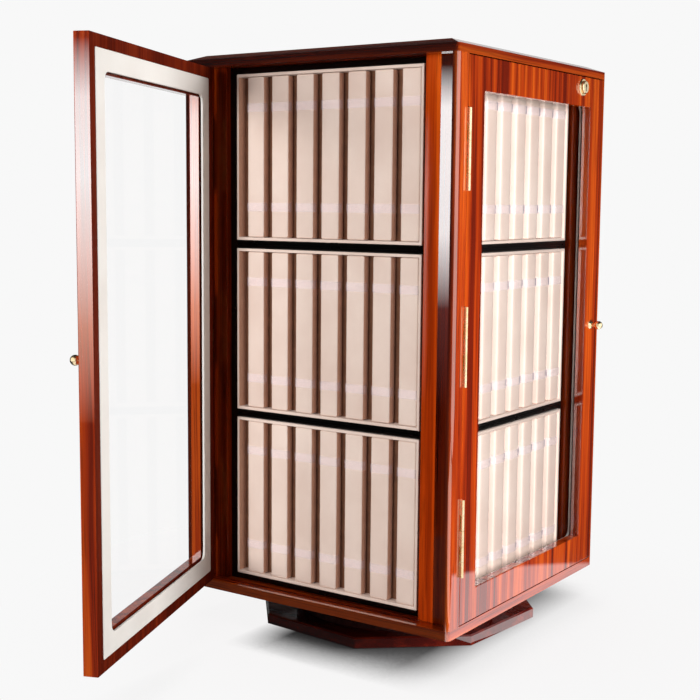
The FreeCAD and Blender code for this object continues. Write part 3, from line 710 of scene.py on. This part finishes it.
# Clear straps: two thin bands bent round the front of every slat
strapShape = {"width": 0.012, "inset": 0.047, "gap": 0.0003, "thickness": 0.0005, "tuck": 0.008,
              "edge": 0.0024, "segments": 3, "crease": 40, "smooth": 40}


def makeStrap(name, centre):
    proud = strapShape["gap"] + strapShape["thickness"]
    half = strapShape["width"] / 2
    piece = newBlock(name, (slatsLow.x - proud, slatsLow.y - proud, centre - half),
                     (slatsLow.x + slatWidth + proud, slatsLow.y + strapShape["tuck"], centre + half))
    pickFaces(piece, lambda face: face.normal.y > squareOn or abs(face.normal.z) > squareOn)
    bpy.ops.mesh.delete(type="FACE")
    objectMode()
    bevel(piece, strapShape)
    modify(piece, "SOLIDIFY", thickness=strapShape["thickness"], offset=-1)
    piece.data.materials.append(strap)
    return piece


straps = []
strapHeights = {"strap_low": trayLow.z + strapShape["inset"], "strap_high": trayHigh.z - strapShape["inset"]}
for name, centre in strapHeights.items():
    firstStrap = makeStrap(name, centre)
    straps += slatGrid(firstStrap)
    bpy.data.objects.remove(firstStrap)
frontStraps = joinAs("front_straps", straps)
smooth(frontStraps, strapShape["smooth"])
for sideName, bands in onAllSides(frontStraps, "straps"):
    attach(bands, "cabinet")
    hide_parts("clear_bands")
    bands.visible_shadow = False
print("straps made")

# Camera at the photograph's place
cameraView = {"place": (1.0323, -1.6340, 0.6185), "azimuth": 34.422, "down": 6.625, "roll": 0.483,
              "lens": 66.239, "sensor": 36}
deselect()
bpy.ops.object.camera_add()
camera = bpy.context.object
camera.data.sensor_width = cameraView["sensor"]
camera.data.lens = cameraView["lens"]
camera.matrix_world = (Matrix.Translation(cameraView["place"])
                       @ Matrix.Rotation(math.radians(cameraView["azimuth"]), 4, "Z")
                       @ Matrix.Rotation(math.radians(90 - cameraView["down"]), 4, "X")
                       @ Matrix.Rotation(math.radians(cameraView["roll"]), 4, "Z"))
bpy.context.scene.camera = camera

# Lamps: azimuth runs from straight ahead of the front to its right, in degrees
# "lights" names the only pieces that a lamp reaches, "skips" the ones that it leaves out
pieceNames = list(bpy.data.objects.keys())
creams = [name for name in pieceNames if name.split("_")[-1] in ("tray", "slats", "straps")]
sideCreams = [name for name in creams if name.startswith("right_")]
frontCreams = [name for name in creams if name not in sideCreams]
leftPieces = [name for name in pieceNames if name.startswith("left_")] + ["corner_post_back_left"]
backPieces = [name for name in pieceNames if name.startswith("back_")] + ["corner_post_back_right"]
brasses = [name for name in nodes if finishFor(name) == brass]
nearPost = ["corner_post_front_right"]
rightWood = nearPost + ["right_door_frame", "corner_post_back_right", "bottom_board", "base_plate"]
noLight = (0, 0, 0, 1)
lampShapes = {
    # soft boxes
    "frontBox": {
        "azimuth": -15, "height": 0.78, "distance": 2.5, "width": 1.3, "tall": 1.2, "power": 51,
        "mirrored": False, "lights": (frontCreams + leftPieces + backPieces
                   + ["side_battens", "front_door_frame", "front_door_lining"])},
    "grooveBox": {
        "azimuth": 60, "height": 0.9, "distance": 2.5, "width": 1.0, "tall": 1.2, "power": 19,
        "mirrored": False, "lights": frontCreams},
    "battenBox": {
        "azimuth": -8, "height": 0.6, "distance": 2.5, "width": 1.0, "tall": 1.0, "power": 20,
        "mirrored": False, "lights": ["side_battens"]},
    "liningBox": {
        "azimuth": 99, "height": 0.7, "distance": 2.6, "width": 1.0, "tall": 1.0, "power": 10,
        "mirrored": False, "lights": ["front_door_lining"]},
    "fillBox": {
        "azimuth": 38, "height": 0.8, "distance": 2.8, "width": 0.9, "tall": 1.2, "power": 131,
        "lights": sideCreams},
    "sideBox": {
        "azimuth": 102, "height": 1.15, "distance": 2.6, "width": 1.3, "tall": 1.3, "power": 62,
        "mirrored": False, "skips": sideCreams + rightWood + ["floor", "side_battens", "corner_post_front_left"]},
    "faceBox": {
        "azimuth": 85, "height": 0.38, "distance": 1.2, "width": 0.5, "tall": 0.4, "power": 19,
        "mirrored": False, "lights": rightWood},
    "leftBox": {
        "azimuth": 262, "height": 1.0, "distance": 2.8, "width": 1.3, "tall": 1.3, "power": 34,
        "mirrored": False, "lights": leftPieces},
    "backBox": {
        "azimuth": 200, "height": 2.2, "distance": 3.0, "width": 1.3, "tall": 1.5, "power": 60,
        "mirrored": False, "skips": ["floor"]},
    "floorBox": {
        "azimuth": 0, "height": 3.5, "distance": 0.05, "width": 2.5, "tall": 2.5, "power": 120,
        "mirrored": False, "lights": ["floor"]},
    # strips and cards that show as reflections in lacquer and brass
    "edgeStrip": {
        "azimuth": -3.6, "height": 0.53, "distance": 2.5, "width": 0.30, "tall": 0.98, "power": 4.2,
        "lights": ["front_door_frame"],
        "fade": [(0.0, (0.06, 0.02, 0.01, 1)), (0.25, (0.50, 0.29, 0.22, 1)), (0.45, (0.78, 0.68, 0.64, 1)),
                 (0.65, (0.90, 0.98, 0.98, 1)), (0.85, (0.80, 0.86, 0.86, 1)), (1.0, noLight)]},
    "rebateStrip": {
        "azimuth": 5.42, "height": 0.56, "distance": 0.4661, "width": 0.032, "tall": 0.52, "power": 0.24,
        "lights": nearPost, "faces": (0.197, -0.2045, 0.56), "soft": False,
        "fade": [(0.0, noLight), (0.30, (0.06, 0.02, 0.02, 1)), (0.52, (0.95, 0.92, 0.92, 1)),
                 (0.88, (1, 1, 1, 1)), (1.0, noLight)]},
    "battenStrip": {
        "azimuth": 1.48, "height": 0.53, "distance": 0.4602, "width": 0.005, "tall": 0.45, "power": 0.06,
        "lights": ["side_battens"], "faces": (0.1675, -0.2025, 0.53), "soft": False,
        "fade": [(0.0, noLight), (0.30, (0.45, 0.35, 0.33, 1)), (0.75, (1, 0.92, 0.92, 1)), (1.0, noLight)]},
    "cornerCard": {
        "azimuth": 93, "height": 0.6, "distance": 1.6, "width": 3.4, "tall": 2.2, "power": 36,
        "lights": nearPost, "tint": (1, 0.80, 0.70), "soft": False},
    "cornerSheet": {
        "azimuth": 53, "height": 0.006, "distance": 1.25, "width": 1.15, "tall": 1.15, "power": 6,
        "lights": nearPost, "tint": (1, 0.75, 0.62), "soft": False, "faces": (0.9983, -0.7523, 1.0)},
    "collarCard": {
        "azimuth": 146, "height": 0.9, "distance": 1.6, "width": 0.9, "tall": 0.9, "power": 1.8,
        "lights": brasses, "soft": False},
    "brassCard": {
        "azimuth": 84, "height": 0.6, "distance": 1.6, "width": 3.2, "tall": 2.2, "power": 34,
        "lights": brasses},
    "knobCard": {
        "azimuth": -12, "height": 0.7, "distance": 1.8, "width": 3.0, "tall": 2.0, "power": 24,
        "lights": brasses},
    "lowCard": {
        "azimuth": 70, "height": 0.004, "distance": 1.0, "width": 2.4, "tall": 2.4, "power": 18,
        "lights": brasses, "faces": (0.9397, -0.3420, 1.0)},
}
lampAim = (0, 0, 0.42)


def addLamp(name, lamp):
    angle = math.radians(lamp["azimuth"])
    deselect()
    bpy.ops.object.light_add(type="AREA")
    box = bpy.context.object
    box.name = name
    box.data.shape = "RECTANGLE"
    box.data.size = lamp["width"]
    box.data.size_y = lamp["tall"]
    box.data.energy = lamp["power"]
    box.data.color = lamp.get("tint", (1, 1, 1))
    box.location = (math.sin(angle) * lamp["distance"], -math.cos(angle) * lamp["distance"], lamp["height"])
    aim = Vector(lamp.get("faces", lampAim))
    if name.endswith("Strip"):
        aim.z = lamp["height"]
    box.rotation_euler = (aim - box.location).to_track_quat("-Z", "Y").to_euler()
    box.visible_camera = False
    box.visible_glossy = lamp.get("mirrored", True)
    box.visible_diffuse = lamp.get("soft", True)
    if "fade" in lamp:  # colours from foot to head
        glow = Finish(name, owner=box.data)
        spot = glow.node("ShaderNodeNewGeometry", out="Parametric")
        up = glow.node("ShaderNodeSeparateXYZ", None, {"Vector": spot}, "Y")
        shade = glow.node("ShaderNodeEmission", None, {"Color": glow.ramp(up, lamp["fade"]), "Strength": 1.0})
        glow.close(shade, "ShaderNodeOutputLight")
    lit = bpy.data.collections.new(name)
    for piece in bpy.data.objects:
        wanted = piece.name in lamp["lights"] if "lights" in lamp else piece.name not in lamp["skips"]
        if piece.type == "MESH" and wanted:
            lit.objects.link(piece)
    box.light_linking.receiver_collection = lit


# Room: white to the camera and through glass, a white sweep behind the object in reflections, dim elsewhere
roomLook = {
    "ambient": 0.12, "reflected": 0.02, "sweepFrom": 0.90, "sweepTo": 1.0, "backdrop": rgb(248, 248, 248),
}
world = bpy.data.worlds.new("room")
bpy.context.scene.world = world
room = Finish("room", owner=world)
lookTurn = math.radians(cameraView["azimuth"])
lookWay = Vector((-math.sin(lookTurn), math.cos(lookTurn), 0))
ahead = room.dot(room.node("ShaderNodeTexCoord", out="Generated"), lookWay)
sweep = room.spread(ahead, roomLook["sweepFrom"], roomLook["sweepTo"], roomLook["reflected"], 1.0)
seen, glossy = room.rays()
dim = room.node("ShaderNodeBackground", None, {"Color": (1, 1, 1, 1), "Strength": roomLook["ambient"]})
mirrored = room.node("ShaderNodeBackground", None, {"Color": (1, 1, 1, 1), "Strength": sweep})
white = room.node("ShaderNodeBackground", None, {"Color": roomLook["backdrop"], "Strength": 1.0})
shown = room.node("ShaderNodeMixShader", None, {0: glossy, 1: dim, 2: mirrored})
shown = room.node("ShaderNodeMixShader", None, {0: seen, 1: shown, 2: white})
room.close(shown, "ShaderNodeOutputWorld")

# Floor: a pale sheet that keeps the object's shadow; distances run from the turning axis
floorLook = {
    "size": 30.0, "bounce": rgb(146, 145, 144), "pale": (0.04, 0.04, 0.04, 1),
    "paper": rgb(250, 249, 249), "glow": 0.94, "fadeFrom": 0.30, "fadeTo": 0.60,
    # the shadow: its reach, the way it looks for what casts it, where it starts and thins from left to right
    "contact": 0.088, "lean": (0.55, 0.55, 0.63), "samples": 8,
    "shadowFrom": -0.105, "shadowTo": -0.045, "thinFrom": 0.15, "thinTo": 0.22, "thin": 0.72,
    # what mirrors see
    "sheetRadius": 0.48, "sheetEdge": 0.02, "sheetFrom": 0.20, "farFrom": 4.0, "farTurn": 0.85,
}
deselect()
bpy.ops.mesh.primitive_plane_add(size=floorLook["size"])
floor = bpy.context.object
floor.name = "floor"
paper = Finish("paper")
seen, glossy = paper.rays()
place = paper.node("ShaderNodeTexCoord", out="Object")
reach = paper.node("ShaderNodeVectorMath", {"operation": "LENGTH"}, {0: place}, "Value")
beside = paper.node("ShaderNodeSeparateXYZ", None, {"Vector": place}, "X")

# shadow to the camera: strongest near the base, cut off at its left end, thin at its right
lean = paper.node("ShaderNodeCombineXYZ", None, dict(zip("XYZ", floorLook["lean"])))
openSky = paper.node("ShaderNodeAmbientOcclusion", {"samples": floorLook["samples"]}, {
    "Distance": floorLook["contact"], "Normal": lean}, "AO")
dark = 1 - openSky * openSky * openSky
dark = dark * paper.spread(beside, floorLook["shadowFrom"], floorLook["shadowTo"])
dark = dark * (1 - paper.spread(beside, floorLook["thinFrom"], floorLook["thinTo"]) * floorLook["thin"])
pale = paper.node("ShaderNodeBsdfDiffuse", None, {"Color": floorLook["pale"]})
glow = paper.node("ShaderNodeEmission", None, {
    "Color": floorLook["paper"], "Strength": (1 - dark) * floorLook["glow"]})
lit = paper.node("ShaderNodeAddShader", None, {0: pale, 1: glow})
blank = paper.node("ShaderNodeEmission", None, {"Color": roomLook["backdrop"], "Strength": 1.0})
fade = paper.spread(reach, floorLook["fadeFrom"], floorLook["fadeTo"])
lit = paper.node("ShaderNodeMixShader", None, {0: fade, 1: lit, 2: blank})

# in mirrors: a white sheet at the right and a white far floor, dim between them
sheet = 1 - paper.spread(reach, floorLook["sheetRadius"], floorLook["sheetRadius"] + floorLook["sheetEdge"])
sheet = sheet * (beside > floorLook["sheetFrom"])
behind = paper.dot(place, lookWay)
far = (behind / reach > floorLook["farTurn"]) * (reach > floorLook["farFrom"])
level = sheet + (1 - sheet) * (far * (1 - roomLook["reflected"]) + roomLook["reflected"])
mirrored = paper.node("ShaderNodeEmission", None, {"Color": (1, 1, 1, 1), "Strength": level})
plain = paper.node("ShaderNodeBsdfDiffuse", None, {"Color": floorLook["bounce"]})
shown = paper.node("ShaderNodeMixShader", None, {0: glossy, 1: plain, 2: mirrored})
shown = paper.node("ShaderNodeMixShader", None, {0: seen, 1: shown, 2: lit})
floor.data.materials.append(paper.close(shown))

for name, lamp in lampShapes.items():
    addLamp(name, lamp)
bpy.data.objects["front_door_lining"].visible_glossy = False  # its pale bar would show in the post
bpy.context.scene.view_settings.view_transform = "Standard"
print("camera, lamps and room set")
